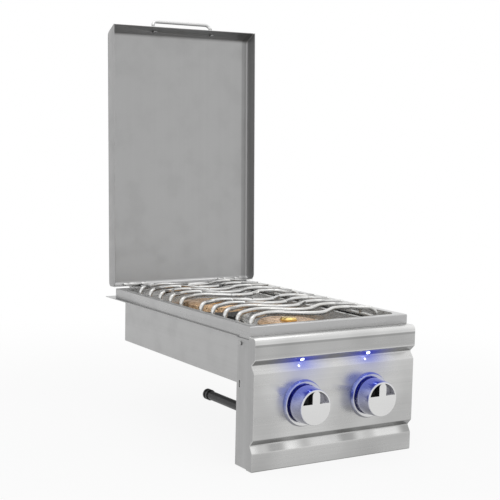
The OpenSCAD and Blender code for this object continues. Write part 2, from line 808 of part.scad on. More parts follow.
// A knob: a tapered cup with a flat lower face and a raised grip ridge
// between two hollows above it
module knob(s) {
    r = knob_d / 2;
    fr = knob_face_d / 2;
    inner_r = fr - knob_rim;
    floor_y = -knob_reach + knob_pocket_depth;
    profile = rounded([[0, -knob_reach], [fr, -knob_reach], [r, -knob_gap], [r - knob_skirt_wall, -knob_gap],
        [fr - knob_skirt_wall, floor_y + knob_skirt_wall], [0, floor_y + knob_skirt_wall]],
        [0, knob_round_r, 0, 0, 0, 0]);
    color("gainsboro") translate([s * knob_x, 0, knob_z]) difference() {
        union() {
            difference() {
                rotate([90, 0, 0]) rotate_extrude() polygon([for (p = profile) [p[0], -p[1]]]);
                difference() {
                    intersection() {
                        along_y(-knob_reach - over, knob_pocket_depth + over, 2 * inner_r);
                        translate([-r, -knob_reach - 2 * over, knob_cut_z])
                            cube([2 * r, knob_pocket_depth + 3 * over, r]);
                    }
                    translate([-knob_ridge_w / 2, -knob_reach, 0])
                        cube([knob_ridge_w, knob_pocket_depth + over, inner_r - knob_ridge_w / 2]);
                    translate([0, 0, inner_r - knob_ridge_w / 2 + near_clear])
                        along_y(-knob_reach, knob_pocket_depth + over, knob_ridge_w);
                }
            }
            along_y(floor_y, -floor_y - knob_gap, knob_boss_d);
        }
        along_y(-stem_reach - near_clear, stem_reach + over, stem_d + 2 * run_clear);
    }
}
module knob_left() { knob(left); }
module knob_right() { knob(right); }

// A shallow dish with a rolled edge round the knob
module bezel(s) {
    r = bezel_d / 2;
    fr = bezel_front_d / 2;
    color("gainsboro") translate([s * knob_x, 0, knob_z]) rotate([90, 0, 0]) rotate_extrude()
        polygon([
            [bezel_bore_d / 2, 0], [r, 0], [r, bezel_back_wall / 2],
            each fillet([r, bezel_back_wall / 2], [fr, bezel_h], [fr - bezel_ring_w, bezel_h - bezel_dish], bezel_edge_r),
            each fillet([fr, bezel_h], [fr - bezel_ring_w, bezel_h - bezel_dish],
                [fr - bezel_ring_w, bezel_back_wall], bezel_edge_r / 2),
            [fr - bezel_ring_w, bezel_back_wall], [bezel_bore_d / 2, bezel_back_wall]]);
}
module bezel_left() { bezel(left); }
module bezel_right() { bezel(right); }

module led(s) {
    color("lightskyblue") at_led(s) rotate_extrude() polygon(concat(
        [[0, -led_body_len], [led_d / 2, -led_body_len], [led_d / 2, 0]],
        [for (a = [0:15:90]) [led_d / 2 * cos(a), led_proud * sin(a)]]));
}
module led_left() { led(left); }
module led_right() { led(right); }

module led_holders() {
    color("black") for (s = [left, right]) at_led(s) difference() {
        translate([0, 0, -fascia_wall - led_holder_len]) cylinder(h = led_holder_len, d = led_holder_d);
        translate([0, 0, -led_body_len - near_clear]) cylinder(h = led_body_len + over, d = led_d + 2 * run_clear);
    }
}

// Gas line
module manifold() {
    color("dimgray") difference() {
        translate([-inlet_x + elbow_d / 2, manifold_y, manifold_z]) rotate([0, 90, 0])
            cylinder(h = manifold_end_x + inlet_x - elbow_d / 2, d = manifold_d);
        translate([-inlet_x + elbow_d / 2 - over, manifold_y, manifold_z]) rotate([0, 90, 0])
            cylinder(h = manifold_end_x + inlet_x - elbow_d / 2 + 2 * over, d = manifold_d - 2 * manifold_wall);
        for (s = [left, right])
            translate([s * knob_x, manifold_y, manifold_z]) cylinder(h = manifold_d, d = valve_inlet_d + 2 * run_clear);
    }
}

module manifold_plug() {
    color("dimgray") translate([manifold_end_x, manifold_y, manifold_z]) rotate([0, 90, 0]) union() {
        cylinder(h = plug_len, d = plug_d, $fn = 6);
        translate([0, 0, -plug_len]) cylinder(h = plug_len, d = manifold_d - 2 * manifold_wall - 2 * run_clear);
    }
}

// Straps from the panel's back to the manifold
module manifold_brackets() {
    reach = manifold_y - fascia_wall;
    color("silver") for (s = [left, right]) translate([s * bracket_x - bracket_w / 2, fascia_wall, 0]) difference() {
        union() {
            translate([0, 0, manifold_z - manifold_d]) cube([bracket_w, bracket_t, 2 * manifold_d]);
            translate([0, 0, manifold_z - bracket_t / 2]) cube([bracket_w, reach, bracket_t]);
            translate([0, reach, manifold_z]) rotate([0, 90, 0]) cylinder(h = bracket_w, d = manifold_d + 2 * bracket_t);
        }
        translate([-over, reach, manifold_z]) rotate([0, 90, 0])
            cylinder(h = bracket_w + 2 * over, d = manifold_d + 2 * run_clear);
    }
}

module inlet_elbow() {
    p = [-inlet_x, manifold_y, manifold_z];
    color("dimgray") difference() {
        union() {
            translate(p) sphere(d = elbow_d);
            translate(p) rotate([0, 90, 0]) cylinder(h = elbow_d / 2, d = elbow_d);
            translate(p) along_y(0, elbow_d / 2, elbow_d);
            translate(p + [elbow_d / 2, 0, 0]) rotate([0, 90, 0]) cylinder(h = elbow_band_w, d = elbow_band_d);
            translate(p + [0, elbow_d / 2, 0]) along_y(0, elbow_band_w, elbow_band_d);
        }
        translate(p + [elbow_d / 2, 0, 0]) rotate([0, 90, 0])
            cylinder(h = elbow_band_w + over, d = manifold_d + 2 * run_clear);
        translate(p + [0, elbow_d / 2, 0]) along_y(0, elbow_band_w + over, inlet_d + 2 * run_clear);
        translate(p) along_y(0, elbow_d, inlet_d - 2 * inlet_wall);
        translate(p) rotate([0, 90, 0]) cylinder(h = elbow_d, d = inlet_d - 2 * inlet_wall);
    }
}

module inlet_pipe() {
    y0 = manifold_y + elbow_d / 2;
    color("black") translate([-inlet_x, 0, manifold_z]) difference() {
        along_y(y0, inlet_end_y - fitting_len / 2 - y0, inlet_d);
        along_y(y0 - over, inlet_end_y - y0 + 2 * over, inlet_d - 2 * inlet_wall);
    }
}

module inlet_fitting() {
    y0 = inlet_end_y - fitting_len;
    color("black") translate([-inlet_x, 0, manifold_z]) difference() {
        union() {
            along_y(y0, fitting_len, fitting_groove_d + 2 * near_clear);
            along_y(y0, (fitting_len - fitting_groove_w) / 2, fitting_d);
            along_y(y0 + (fitting_len + fitting_groove_w) / 2, (fitting_len - fitting_groove_w) / 2, fitting_d);
        }
        along_y(y0 - over, fitting_len / 2 + over, inlet_d + 2 * run_clear);
        along_y(y0 + fitting_len / 2 - over, fitting_len / 2 + 2 * over, fitting_socket_d);
    }
}

// Lid, drawn closed about its hinge pin and then turned to the open stop
module lid_pose() {
    translate([0, hinge_y, hinge_z]) rotate([-lid_open, 0, 0]) children();
}

lid_front_y = -lid_reach;
lid_line = [
    [lid_back_y, lid_skin_z - lid_back_len],
    [lid_back_y, lid_skin_z],
    [lid_front_y + lid_slope, lid_skin_z],
    [lid_front_y, lid_free_z],
];
lid_radii = [0, lid_back_r, lid_front_r, 0];
lid_side_line = [
    [lid_back_y, lid_free_z],
    [lid_back_y, lid_skin_z],
    [lid_front_y + lid_slope, lid_skin_z],
    [lid_front_y, lid_free_z],
];
lid_side_radii = [lid_corner_r, lid_back_r, lid_front_r, 0];
slope_way = unit(lid_line[2] - lid_line[3]);
slope_out = [-slope_way[1], slope_way[0]];
slope_mid = (lid_line[2] + lid_line[3]) / 2;
function on_slope(x, out) = [x, slope_mid[0] + slope_out[0] * out, slope_mid[1] + slope_out[1] * out];

module lid_shell() {
    color("silver") lid_pose() difference() {
        union() {
            across(-lid_w / 2, lid_w) polygon(sheet(lid_line, lid_radii, lid_wall));
            for (s = [left, right])
                across(s > 0 ? lid_w / 2 - lid_wall : -lid_w / 2, lid_wall)
                    polygon(ring_of(lid_side_line, lid_side_radii));
        }
        for (s = [left, right]) {
            translate([s * hinge_x, 0, 0]) rotate([0, 90, 0]) cylinder(
                h = barrel_len + 2 * (outer_knuckle_len + knuckle_gap + barrel_slot_clear),
                r = barrel_d / 2 + barrel_slot_clear, center = true);
            // Lets the frame's leaf pass as the lid turns
            translate([s * hinge_x - leaf_w / 2 - knuckle_gap, lid_back_y - lid_wall - over,
                lid_skin_z - lid_back_len - over])
                cube([leaf_w + 2 * knuckle_gap, lid_wall + 2 * over, lid_back_len - lid_skin_z + over]);
            rod(on_slope(s * handle_w / 2, over), on_slope(s * handle_w / 2, -lid_wall - over),
                handle_screw_d / 2 + run_clear);
        }
    }
}

module lid_handle() {
    end = handle_w / 2;
    color("gainsboro") lid_pose() difference() {
        bent_rod([on_slope(-end, 0), on_slope(-end, handle_h), on_slope(end, handle_h), on_slope(end, 0)],
            [0, handle_bend_r, handle_bend_r, 0], handle_d / 2);
        for (s = [left, right])
            rod(on_slope(s * end, -over), on_slope(s * end, handle_screw_len + near_clear),
                handle_screw_d / 2 + run_clear);
    }
}

module handle_screws() {
    color("gainsboro") lid_pose() for (s = [left, right]) union() {
        rod(on_slope(s * handle_w / 2, -lid_wall), on_slope(s * handle_w / 2, handle_screw_len), handle_screw_d / 2);
        rod(on_slope(s * handle_w / 2, -lid_wall - handle_screw_head_h),
            on_slope(s * handle_w / 2, -lid_wall), handle_screw_head_d / 2);
    }
}

// Hinges: the frame's middle barrel between the lid's two outer barrels
module barrel(x, len) {
    translate([x, 0, 0]) rotate([0, 90, 0]) cylinder(h = len, d = barrel_d, center = true);
}
module pin_bore(x) {
    translate([x, 0, 0]) rotate([0, 90, 0])
        cylinder(h = 2 * (barrel_len + 2 * outer_knuckle_len), d = pin_d + 2 * run_clear, center = true);
}

outer_x = barrel_len / 2 + knuckle_gap + outer_knuckle_len / 2;
module hinge_leaf_lid() {
    color("gainsboro") lid_pose() for (s = [left, right], sx = [-1, 1]) difference() {
        union() {
            barrel(s * hinge_x + sx * outer_x, outer_knuckle_len);
            translate([s * hinge_x + sx * outer_x - outer_knuckle_len / 2,
                lid_back_y - lid_wall - leaf_t, -barrel_d / 2 - leaf_len])
                cube([outer_knuckle_len, leaf_t, barrel_d / 2 + leaf_len]);
        }
        pin_bore(s * hinge_x);
    }
}

module hinge_leaf_frame() {
    color("gainsboro") translate([0, hinge_y, hinge_z]) for (s = [left, right]) difference() {
        union() {
            barrel(s * hinge_x, barrel_len);
            translate([s * hinge_x - leaf_w / 2, -hinge_gap - frame_leaf_len, frame_top - hinge_z])
                cube([leaf_w, hinge_gap + frame_leaf_len, leaf_t]);
            translate([s * hinge_x - outer_x, -hinge_gap - frame_leaf_len, frame_top - hinge_z])
                cube([2 * outer_x, frame_leaf_len, leaf_t]);
        }
        pin_bore(s * hinge_x);
        for (sx = [-1, 1]) at_frame_screw(s, sx)
            translate([0, 0, -over]) cylinder(h = leaf_t + 2 * over, d = hinge_screw_d + 2 * run_clear);
    }
}

module at_frame_screw(s, sx) {
    translate([s * hinge_x + sx * leaf_w / 2, -hinge_gap - frame_leaf_len / 2, frame_top - hinge_z]) children();
}

module hinge_pins() {
    color("gainsboro") translate([0, hinge_y, hinge_z]) for (s = [left, right])
        translate([s * hinge_x, 0, 0]) rotate([0, 90, 0])
            cylinder(h = barrel_len + 2 * (knuckle_gap + outer_knuckle_len), d = pin_d, center = true);
}

module hinge_screws() {
    color("gainsboro") translate([0, hinge_y, hinge_z]) for (s = [left, right], sx = [-1, 1])
        at_frame_screw(s, sx) union() {
            cylinder(h = leaf_t, d = hinge_screw_d);
            translate([0, 0, leaf_t]) cylinder(h = hinge_screw_head_h, d = hinge_screw_head_d);
        }
}

fascia_panel();
fascia_end_left();
fascia_end_right();
fascia_screws();
body_left();
body_right();
body_back();
body_bottom();
body_front();
counter_flange();
top_frame();
burner_pan();
grate_front();
grate_rear();
burner_ring_front();
burner_ring_rear();
burner_cap_front();
burner_cap_rear();
burner_base_front();
burner_base_rear();
burner_screws();
igniter_front();
igniter_rear();
orifice_front();
orifice_rear();
supply_tube_front();
supply_tube_rear();
valve_left();
valve_right();
stem_collar_left();
stem_collar_right();
valve_stem_left();
valve_stem_right();
knob_left();
knob_right();
bezel_left();
bezel_right();
led_left();
led_right();
led_holders();
manifold();
manifold_brackets();
manifold_plug();
inlet_elbow();
inlet_pipe();
inlet_fitting();
lid_shell();
lid_handle();
handle_screws();
hinge_leaf_lid();
hinge_leaf_frame();
hinge_pins();
hinge_screws();
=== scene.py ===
import json
import math
import bpy
from mathutils import Matrix, Vector

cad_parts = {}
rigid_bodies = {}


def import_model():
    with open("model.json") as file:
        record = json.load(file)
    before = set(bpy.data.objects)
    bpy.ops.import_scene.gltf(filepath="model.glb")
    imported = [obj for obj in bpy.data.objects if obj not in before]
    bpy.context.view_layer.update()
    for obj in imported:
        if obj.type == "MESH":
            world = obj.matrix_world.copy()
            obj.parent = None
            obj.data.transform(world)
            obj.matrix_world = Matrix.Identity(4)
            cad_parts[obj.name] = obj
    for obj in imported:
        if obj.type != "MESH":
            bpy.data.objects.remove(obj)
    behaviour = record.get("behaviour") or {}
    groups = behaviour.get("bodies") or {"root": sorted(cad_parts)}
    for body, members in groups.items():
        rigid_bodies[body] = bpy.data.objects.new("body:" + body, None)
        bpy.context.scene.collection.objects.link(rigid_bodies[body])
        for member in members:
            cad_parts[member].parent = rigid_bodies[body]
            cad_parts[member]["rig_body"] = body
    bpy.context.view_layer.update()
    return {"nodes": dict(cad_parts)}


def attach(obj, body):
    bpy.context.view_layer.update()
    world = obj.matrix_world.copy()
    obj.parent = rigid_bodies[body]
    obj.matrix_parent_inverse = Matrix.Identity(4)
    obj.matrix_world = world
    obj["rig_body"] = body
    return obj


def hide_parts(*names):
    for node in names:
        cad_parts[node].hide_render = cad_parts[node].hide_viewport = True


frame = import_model()
nodes = frame["nodes"]
print("frame loaded:", len(nodes), "nodes")

# Camera, found from the photograph's own edges
camera = {
    "place": (-1.02391, -1.32893, 0.29152),
    "yaw": -28.18,
    "pitch": -5.96,
    "roll": 0.74,
    "lens": 78.14,
    "shiftX": 0.1776,
    "shiftY": 0.0119,
}

studio = {
    "floorZ": -0.1997,
    "floorSize": 14.0,
    "floorColour": (0.86, 0.86, 0.86),
    "floorGlow": 0.88,
    "glowNear": 0.45,
    "glowFar": 1.3,
    "skyStrength": 0.7,
    "whiteStrength": 1.0,
}

# Each softbox: place, the point it faces, size, power
softboxes = [
    {"name": "keyLeft", "place": (-1.9, -1.5, 1.9), "aim": (0, 0.1, 0.0), "size": (1.5, 1.5), "power": 6},
    {"name": "fillFront", "place": (-2.2, -2.0, 0.6), "aim": (0, 0, -0.05), "size": (1.3, 1.6), "power": 3},
    {"name": "topStrip", "place": (0.2, 0.1, 2.3), "aim": (0, 0.25, 0.0), "size": (1.2, 2.0), "power": 6},
]

# The two panel lamps, and where the lower slope of the groove mirrors them
ledSpots = {
    "x": 0.0633,
    "y": 0.0042,
    "z": -0.0342,
    "echoX": -0.006,
    "echoY": 0.0045,
    "echoZ": -0.0435,
    "echoR": 0.0026,
}

# How the lamps' light colours what it falls on
lampLight = {
    "tint": (0.30, 0.35, 0.68),
    "blue": (0.05, 0.07, 1.0),
    "echo": (1, 1, 1),
    "strength": 2,
    "share": 5,
}

# Values that every finish shares unless it has its own
common = {
    "markSize": 26.0,
    "edgeWidth": 0.0009,
    "edgeLift": 1.25,
    "bumpDepth": 0.0004,
    "printDepth": 0.03,
    "patchScale": 9,
    "under": 0.7,
    "over": 1.1,
    "reach": 0.07,
}

# How the copy of a CAD node is cleaned and softened, in metres and degrees
meshing = {
    "merge": 0.000002,
    "flatUnder": 0.6,
    "bevelOver": 38,
    "bevelSegments": 2,
    "smoothUnder": 32,
}


def deselectAll():
    for obj in bpy.context.selected_objects:
        obj.select_set(False)


def makeActive(obj):
    deselectAll()
    obj.select_set(True)
    bpy.context.view_layer.objects.active = obj


# Camera
def buildCamera():
    data = bpy.data.cameras.new("photoCamera")
    data.sensor_width = 36
    data.lens = camera["lens"]
    data.shift_x = camera["shiftX"]
    data.shift_y = camera["shiftY"]
    data.clip_start = 0.05
    data.clip_end = 60
    obj = bpy.data.objects.new("photoCamera", data)
    bpy.context.scene.collection.objects.link(obj)
    yaw = Matrix.Rotation(math.radians(camera["yaw"]), 4, "Z")
    tilt = Matrix.Rotation(math.radians(90 + camera["pitch"]), 4, "X")
    roll = Matrix.Rotation(math.radians(camera["roll"]), 4, "Z")
    obj.matrix_world = Matrix.Translation(camera["place"]) @ yaw @ tilt @ roll
    bpy.context.scene.camera = obj


# Shader helpers
def newMaterial(name):
    mat = bpy.data.materials.new(name)
    mat.use_nodes = True
    tree = mat.node_tree
    tree.nodes.clear()
    out = tree.nodes.new("ShaderNodeOutputMaterial")
    shader = tree.nodes.new("ShaderNodeBsdfPrincipled")
    tree.links.new(shader.outputs["BSDF"], out.inputs["Surface"])
    return mat, tree, shader


def newGroup(name, inputs, outputs):
    group = bpy.data.node_groups.new(name, "ShaderNodeTree")
    for label, kind, value in inputs:
        socket = group.interface.new_socket(label, in_out="INPUT", socket_type=kind)
        if value is not None:
            socket.default_value = value
    for label, kind in outputs:
        group.interface.new_socket(label, in_out="OUTPUT", socket_type=kind)
    start = group.nodes.new("NodeGroupInput")
    end = group.nodes.new("NodeGroupOutput")
    return group, start, end


def addMath(tree, kind, first, second=None, clamp=False):
    node = tree.nodes.new("ShaderNodeMath")
    node.operation = kind
    node.use_clamp = clamp
    for index, value in enumerate((first, second)):
        if value is None:
            continue
        if hasattr(value, "is_output"):
            tree.links.new(value, node.inputs[index])
        else:
            node.inputs[index].default_value = value
    return node.outputs[0]


def addRange(tree, value, low, high, newLow, newHigh, smooth=False):
    node = tree.nodes.new("ShaderNodeMapRange")
    if smooth:
        node.interpolation_type = "SMOOTHSTEP"
    tree.links.new(value, node.inputs["Value"])
    node.inputs["From Min"].default_value = low
    node.inputs["From Max"].default_value = high
    node.inputs["To Min"].default_value = newLow
    node.inputs["To Max"].default_value = newHigh
    return node.outputs["Result"]


def addNoise(tree, vector, scale, detail, roughness=0.5):
    node = tree.nodes.new("ShaderNodeTexNoise")
    node.inputs["Scale"].default_value = scale
    node.inputs["Detail"].default_value = detail
    node.inputs["Roughness"].default_value = roughness
    tree.links.new(vector, node.inputs["Vector"])
    return node.outputs["Fac"]


def addColourMix(tree, fac, first, second, kind="MIX"):
    node = tree.nodes.new("ShaderNodeMix")
    node.data_type = "RGBA"
    node.blend_type = kind
    for key, value in ((0, fac), (6, first), (7, second)):
        if hasattr(value, "is_output"):
            tree.links.new(value, node.inputs[key])
        elif key == 0:
            node.inputs[0].default_value = value
        else:
            node.inputs[key].default_value = (*value, 1)
    return node.outputs[2]


# Grain: long fine scratches along one axis, with broader bands of tone
def buildGrainGroup():
    group, start, end = newGroup(
        "brushedGrain",
        [
            ("Vector", "NodeSocketVector", None),
            ("Stretch", "NodeSocketVector", (1, 1, 1)),
            ("Fine", "NodeSocketFloat", 1.0),
        ],
        [("Tone", "NodeSocketFloat"), ("Height", "NodeSocketFloat")],
    )
    scaled = group.nodes.new("ShaderNodeVectorMath")
    scaled.operation = "MULTIPLY"
    group.links.new(start.outputs["Vector"], scaled.inputs[0])
    group.links.new(start.outputs["Stretch"], scaled.inputs[1])
    fine = addNoise(group, scaled.outputs[0], 1.0, 3, 0.5)
    wide = addNoise(group, scaled.outputs[0], 0.13, 2, 0.5)
    tone = addMath(group, "MULTIPLY_ADD", fine, 0.45)
    group.links.new(addMath(group, "MULTIPLY", wide, 0.55), tone.node.inputs[2])
    group.links.new(tone, end.inputs["Tone"])
    height = addMath(group, "MULTIPLY", fine, None)
    group.links.new(start.outputs["Fine"], height.node.inputs[1])
    group.links.new(height, end.inputs["Height"])
    return group


# Handling marks: soft blotches that change the gloss a little
def buildSmudgeGroup():
    group, start, end = newGroup(
        "handlingMarks",
        [("Vector", "NodeSocketVector", None), ("Size", "NodeSocketFloat", 30.0)],
        [("Mask", "NodeSocketFloat"), ("Print", "NodeSocketFloat")],
    )
    blotch = group.nodes.new("ShaderNodeTexNoise")
    blotch.inputs["Detail"].default_value = 5
    blotch.inputs["Roughness"].default_value = 0.6
    group.links.new(start.outputs["Vector"], blotch.inputs["Vector"])
    group.links.new(start.outputs["Size"], blotch.inputs["Scale"])
    mask = addRange(group, blotch.outputs["Fac"], 0.42, 0.68, 0, 1, True)
    group.links.new(mask, end.inputs["Mask"])
    ridge = group.nodes.new("ShaderNodeTexWave")
    ridge.wave_type = "RINGS"
    ridge.inputs["Scale"].default_value = 260
    ridge.inputs["Distortion"].default_value = 9
    ridge.inputs["Detail"].default_value = 1
    ridge.inputs["Detail Scale"].default_value = 0.6
    group.links.new(start.outputs["Vector"], ridge.inputs["Vector"])
    spots = addRange(group, addNoise(group, start.outputs["Vector"], 55, 1), 0.62, 0.7, 0, 1, True)
    group.links.new(addMath(group, "MULTIPLY", ridge.outputs["Fac"], spots), end.inputs["Print"])
    return group


# Painted edge highlight: bright where a small bevel would turn the surface, broken up by noise
def buildEdgeHighlightGroup():
    group, start, end = newGroup(
        "paintedEdgeHighlight",
        [("Vector", "NodeSocketVector", None), ("Width", "NodeSocketFloat", 0.0012)],
        [("Mask", "NodeSocketFloat")],
    )
    bevel = group.nodes.new("ShaderNodeBevel")
    bevel.samples = 6
    group.links.new(start.outputs["Width"], bevel.inputs["Radius"])
    geometry = group.nodes.new("ShaderNodeNewGeometry")
    dot = group.nodes.new("ShaderNodeVectorMath")
    dot.operation = "DOT_PRODUCT"
    group.links.new(bevel.outputs["Normal"], dot.inputs[0])
    group.links.new(geometry.outputs["Normal"], dot.inputs[1])
    edge = addRange(group, dot.outputs["Value"], 0.86, 0.985, 1, 0, True)
    breakUp = addRange(group, addNoise(group, start.outputs["Vector"], 180, 4), 0.3, 0.62, 0.25, 1)
    group.links.new(addMath(group, "MULTIPLY", edge, breakUp), end.inputs["Mask"])
    return group


# Glow: how close a point lies to the two panel lamps
def buildGlowGroup():
    group, start, end = newGroup(
        "lampGlow",
        [("Vector", "NodeSocketVector", None), ("Reach", "NodeSocketFloat", 0.07)],
        [("Mask", "NodeSocketFloat"), ("Echo", "NodeSocketFloat")],
    )
    total = None
    echoes = None
    for side in (-1, 1):
        echo = group.nodes.new("ShaderNodeVectorMath")
        echo.operation = "DISTANCE"
        group.links.new(start.outputs["Vector"], echo.inputs[0])
        echo.inputs[1].default_value = (
            side * ledSpots["x"] + ledSpots["echoX"],
            ledSpots["echoY"],
            ledSpots["echoZ"],
        )
        spot = addRange(group, echo.outputs["Value"], ledSpots["echoR"] / 3, ledSpots["echoR"], 1, 0, True)
        echoes = spot if echoes is None else addMath(group, "ADD", echoes, spot, True)
        away = group.nodes.new("ShaderNodeVectorMath")
        away.operation = "DISTANCE"
        group.links.new(start.outputs["Vector"], away.inputs[0])
        away.inputs[1].default_value = (side * ledSpots["x"], ledSpots["y"], ledSpots["z"])
        near = addMath(group, "DIVIDE", away.outputs["Value"], None)
        group.links.new(start.outputs["Reach"], near.node.inputs[1])
        fall = addMath(group, "SUBTRACT", 1.0, near, True)
        soft = addMath(group, "POWER", fall, 2.2)
        total = soft if total is None else addMath(group, "ADD", total, soft, True)
    group.links.new(echoes, end.inputs["Echo"])
    # The lamps look down, so only their own groove and what lies below is lit
    parts = group.nodes.new("ShaderNodeSeparateXYZ")
    group.links.new(start.outputs["Vector"], parts.inputs[0])
    below = addRange(group, parts.outputs["Z"], ledSpots["z"] + 0.006, ledSpots["z"] + 0.0045, 0, 1, True)
    groove = addRange(group, parts.outputs["Z"], ledSpots["z"] - 0.018, ledSpots["z"] - 0.012, 1, 1.9, True)
    lit = addMath(group, "MULTIPLY", below, groove)
    group.links.new(addMath(group, "MULTIPLY", total, lit), end.inputs["Mask"])
    return group


# Painted light and shade: sheet that looks down is painted darker, sheet that looks up is painted lighter
def buildFacingShadeGroup():
    group, start, end = newGroup(
        "paintedFacingShade",
        [
            ("Normal", "NodeSocketVector", None),
            ("Under", "NodeSocketFloat", 0.7),
            ("Over", "NodeSocketFloat", 1.1),
        ],
        [("Tone", "NodeSocketFloat")],
    )
    parts = group.nodes.new("ShaderNodeSeparateXYZ")
    group.links.new(start.outputs["Normal"], parts.inputs[0])
    low = addRange(group, parts.outputs["Z"], -0.8, -0.05, 0, 1, True)
    group.links.new(start.outputs["Under"], low.node.inputs["To Min"])
    low.node.inputs["To Max"].default_value = 1
    high = addRange(group, parts.outputs["Z"], 0.1, 0.9, 1, 1, True)
    group.links.new(start.outputs["Over"], high.node.inputs["To Max"])
    group.links.new(addMath(group, "MULTIPLY", low, high), end.inputs["Tone"])
    return group


grainGroup = buildGrainGroup()
smudgeGroup = buildSmudgeGroup()
edgeHighlightGroup = buildEdgeHighlightGroup()
glowGroup = buildGlowGroup()
facingShadeGroup = buildFacingShadeGroup()


def useGroup(tree, group, vector=None, **values):
    node = tree.nodes.new("ShaderNodeGroup")
    node.node_tree = group
    if vector is not None:
        tree.links.new(vector, node.inputs["Vector"])
    for label, value in values.items():
        node.inputs[label].default_value = value
    return node


# Every metal and hard finish comes from these values
finishes = {
    "fasciaSteel": {
        "colour": (0.53, 0.53, 0.525), "rough": 0.3, "stretch": (1.2, 420, 420), "grain": 0.07, "bump": 0.03,
        "glow": 0.018, "tint": 0.55, "under": 0.42, "over": 1.3, "patches": 0.1,
        # Painted highlights on the top bend and at the foot of the upper band, painted shade over the upper
        # band, under the top bend and along the lowest strip
        "bands": (
            ("Z", -0.176, -0.170, 0.88, 1.0), ("Z", -0.0315, -0.0285, 1.0, 1.1),
            ("Z", -0.0272, -0.0262, 1.0, 0.72), ("Z", -0.0095, -0.0080, 1.0, 0.76),
            ("Z", -0.0060, -0.0045, 1.0, 1.9),
        ),
        "reflectionBlocks": {"low": -0.1716, "high": -0.1598, "edge": 0.002, "scale": 15.0, "amount": 0.35},
    },
    "bodySteel": {
        "colour": (0.45, 0.45, 0.45), "rough": 0.36, "stretch": (500, 3, 500), "grain": 0.06, "bump": 0.03,
    },
    "endSteel": {
        "colour": (0.40, 0.40, 0.40), "rough": 0.34, "stretch": (500, 500, 3), "grain": 0.07, "bump": 0.03,
    },
    "frameSteel": {
        "colour": (0.44, 0.44, 0.44), "rough": 0.3, "stretch": (2, 2, 420), "grain": 0.07, "bump": 0.02,
        "over": 1.3,
    },
    "panSteel": {
        "colour": (0.52, 0.52, 0.515), "rough": 0.26, "stretch": (40, 40, 40), "grain": 0.08, "bump": 0.02,
        "heat": 0.15, "over": 1.3,
    },
    "rodSteel": {
        "colour": (0.55, 0.55, 0.545), "rough": 0.2, "stretch": (90, 90, 90), "grain": 0.08, "bump": 0.02,
        "heat": 0.15, "under": 0.22, "over": 1.35,
    },
    "lidSteel": {
        "colour": (0.39, 0.39, 0.39), "rough": 0.38, "stretch": (700, 40, 1.5), "grain": 0.025,
        "bump": 0.015, "over": 1.9,
        # Painted highlight along the lid's right fold, with painted shade strips beside it
        "bands": (
            ("X", 0.1378, 0.1388, 1.0, 0.8), ("X", 0.1482, 0.1490, 1.0, 1.75),
            ("X", 0.1514, 0.1520, 1.0, 0.6),
        ),
    },
    "handleMetal": {
        "colour": (0.6, 0.6, 0.6), "rough": 0.16, "stretch": (30, 300, 300), "grain": 0.05, "bump": 0.02,
        "under": 0.4, "over": 1.3,
    },
    "hingeSteel": {
        "colour": (0.56, 0.56, 0.555), "rough": 0.22, "stretch": (400, 60, 60), "grain": 0.08, "bump": 0.03,
        "under": 0.35, "over": 1.4,
    },
    "screwSteel": {
        "colour": (0.42, 0.42, 0.42), "rough": 0.28, "stretch": (150, 150, 150), "grain": 0.1, "bump": 0.04,
    },
    "burnerCopper": {
        "colour": (0.98, 0.66, 0.40), "rough": 0.28, "stretch": (60, 60, 60), "grain": 0.02, "bump": 0.03,
        "heat": 0.1, "over": 1.0, "metallic": 0.7,
    },
    "burnerBrass": {
        "colour": (0.84, 0.60, 0.22), "rough": 0.22, "stretch": (60, 60, 60), "grain": 0.1, "bump": 0.05,
        "heat": 0.12,
    },
    # Painted shade: dark in the knobs' hollows beside the ridge, lifted to grey further into the right-hand
    # hollow
    "pocketPaintedShade": {
        "colour": (0.012, 0.012, 0.013), "rough": 0.4, "stretch": (300, 300, 300), "grain": 0.2,
        "bump": 0.05, "metallic": 0,
        "bands": (
            ("X", -0.0525, -0.0517, 1, 45), ("X", -0.030, -0.029, 1, 0.022), ("X", 0.0741, 0.0749, 1, 45),
        ),
    },
    "gapBlack": {
        "colour": (0.02, 0.024, 0.05), "rough": 0.35, "stretch": (300, 300, 300), "grain": 0.2, "bump": 0.05,
        "metallic": 0,
    },
    "valveBrass": {
        "colour": (0.68, 0.47, 0.2), "rough": 0.3, "stretch": (120, 120, 120), "grain": 0.14, "bump": 0.06,
    },
    "castBody": {
        "colour": (0.16, 0.16, 0.16), "rough": 0.55, "stretch": (220, 220, 220), "grain": 0.3, "bump": 0.35,
        "metallic": 0.6,
    },
    "ceramic": {
        "colour": (0.84, 0.82, 0.76), "rough": 0.25, "stretch": (60, 60, 60), "grain": 0.06, "bump": 0.02,
        "metallic": 0, "coat": 0.6,
    },
    "tubeAluminium": {
        "colour": (0.6, 0.6, 0.61), "rough": 0.32, "stretch": (200, 200, 200), "grain": 0.1, "bump": 0.04,
    },
    "knobChrome": {
        "colour": (0.70, 0.70, 0.695), "rough": 0.16, "stretch": (30, 400, 30), "grain": 0.03, "bump": 0.01,
        "glow": 0.06, "tint": 4.5, "reach": 0.12, "faceGlow": 0.0, "under": 0.6,
    },
    "bezelChrome": {
        "colour": (0.66, 0.66, 0.655), "rough": 0.14, "stretch": (40, 40, 40), "grain": 0.03, "bump": 0.01,
        "glow": 0.04, "tint": 8.0, "reach": 0.12, "faceGlow": 0.12, "under": 0.6,
    },
    "blackPlastic": {
        "colour": (0.02, 0.02, 0.02), "rough": 0.5, "stretch": (300, 300, 300), "grain": 0.2, "bump": 0.1,
        "metallic": 0,
    },
    "pipeIron": {
        "colour": (0.035, 0.035, 0.037), "rough": 0.42, "stretch": (260, 260, 260), "grain": 0.3,
        "bump": 0.25, "metallic": 0.3,
    },
    "pipeBlack": {
        "colour": (0.022, 0.022, 0.024), "rough": 0.36, "stretch": (160, 160, 160), "grain": 0.3,
        "bump": 0.12, "metallic": 0.2,
    },
}


